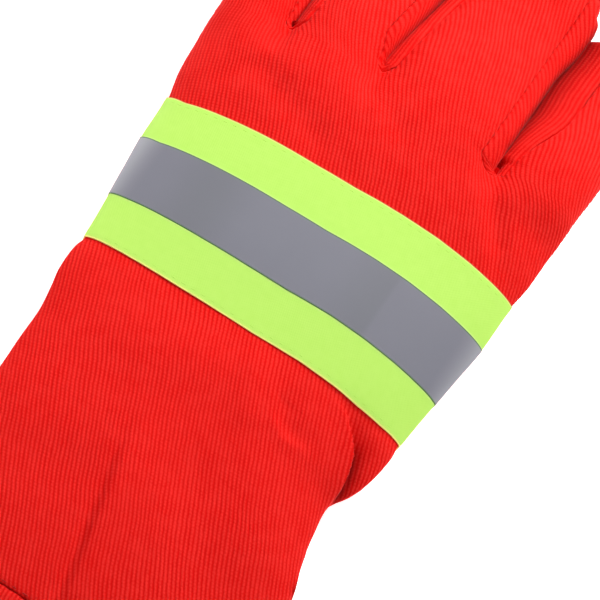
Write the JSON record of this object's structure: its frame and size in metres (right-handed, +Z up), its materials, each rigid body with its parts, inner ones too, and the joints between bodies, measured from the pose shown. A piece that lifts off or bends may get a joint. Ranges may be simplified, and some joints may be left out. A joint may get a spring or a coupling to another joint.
{
  "type": "firefighter glove",
  "caption": "Left firefighter glove of red twill with a flared cuff, a lime and silver reflective band over the back of the hand, open inside for the hand.",
  "frame": {"origin": "middle of the bounding box, on the surface the glove lies on", "axes": "+Y from the cuff to the fingertips, +X to the thumb side, +Z up out of the back of the hand"},
  "size_m": [0.1214, 0.2728, 0.0305],
  "materials": {
    "red_twill": "matte ribbed twill",
    "lime_band": "matte fluorescent woven tape",
    "silver_reflector": "satin reflective cloth"
  },
  "bodies": {
    "root": {"back_panel": "red_twill", "palm_panel": "red_twill", "fourchette_little_ring": "red_twill", "fourchette_ring_middle": "red_twill", "fourchette_middle_index": "red_twill", "thumb": "red_twill", "cuff_hem": "red_twill", "lime_tape": "lime_band", "silver_stripe": "silver_reflector"}
  },
  "joints": []
}
